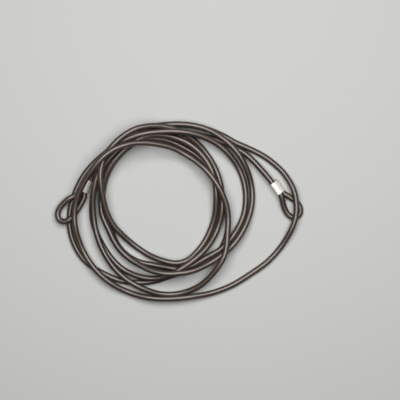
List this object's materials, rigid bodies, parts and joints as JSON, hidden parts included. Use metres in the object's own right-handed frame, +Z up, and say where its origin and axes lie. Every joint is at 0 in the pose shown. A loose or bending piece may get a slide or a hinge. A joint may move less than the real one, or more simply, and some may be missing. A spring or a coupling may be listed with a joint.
{
  "type": "cable lock",
  "caption": "Flexible vinyl-covered steel security cable for a bicycle, lying in a loose coil, with an eye closed by a pressed sleeve at each end for a padlock or U-lock",
  "frame": {"origin": "on the surface that the coil lies on, under the middle of the whole object's bounding box", "axes": "+Z up from the surface; +X along the coil's longest extent, from the left eye to the right eye; +Y away from the viewer, towards the side where both sleeves are"},
  "size_m": [0.3468, 0.2516, 0.0465],
  "materials": {
    "vinyl_jacket": "smoky dark grey-brown soft vinyl, semi-gloss, the rope's lay showing faintly through it",
    "steel_rope": "bright galvanised steel rope, seen only at the cut ends beside the sleeves",
    "aluminium_sleeve": "bright pressed aluminium with a soft satin sheen"
  },
  "bodies": {
    "root": {"wire_rope": "steel_rope", "main_jacket": "vinyl_jacket", "left_eye_jacket": "vinyl_jacket", "right_eye_jacket": "vinyl_jacket", "left_sleeve": "aluminium_sleeve", "right_sleeve": "aluminium_sleeve"}
  },
  "joints": []
}
